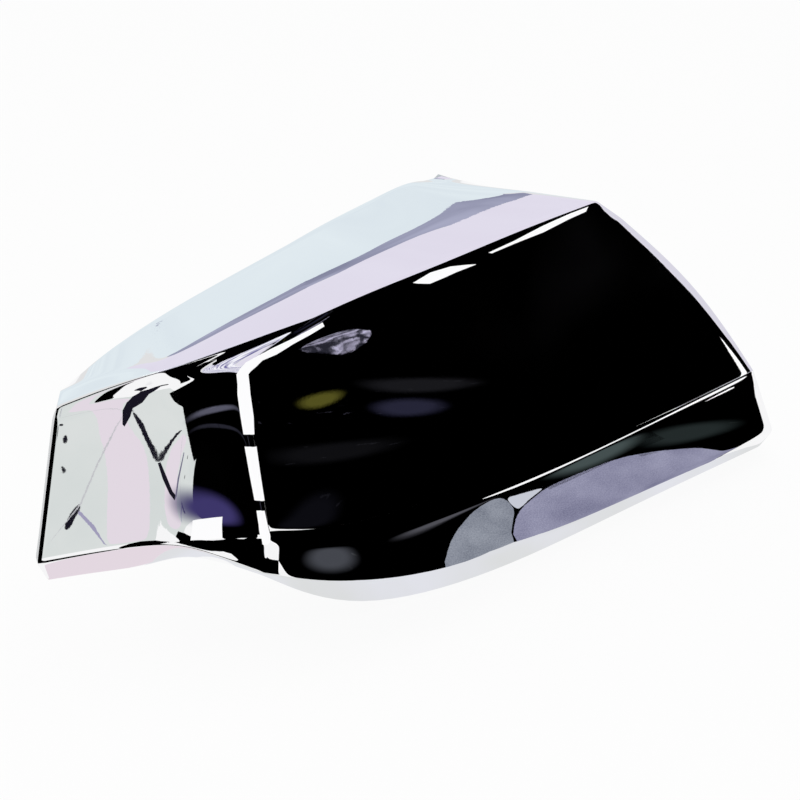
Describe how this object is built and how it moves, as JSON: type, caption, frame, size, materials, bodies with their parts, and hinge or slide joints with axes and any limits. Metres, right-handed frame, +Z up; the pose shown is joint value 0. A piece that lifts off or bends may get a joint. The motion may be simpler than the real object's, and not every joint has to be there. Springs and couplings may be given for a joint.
{
  "type": "wing mirror cover",
  "caption": "Chrome-look clip-on cover for the left wing mirror of a car, with a raked face, a diagonal outboard end, a drooping chin and a stepped arm.",
  "frame": {"origin": "middle of the main locating pin, on its axis, inside the cover", "axes": "+X outboard from the car and along the cover, +Y to the rear of the car, out of the open side and along the pins, +Z up"},
  "size_m": [0.3068, 0.0857, 0.1302],
  "materials": {
    "chrome_skin": "bright plated, mirror-smooth on the outside",
    "plated_inside": "duller plated moulded plastic on the inside, the rim, the pins and the hooks"
  },
  "bodies": {
    "root": {"mirror_cover": "chrome_skin"}
  },
  "joints": []
}
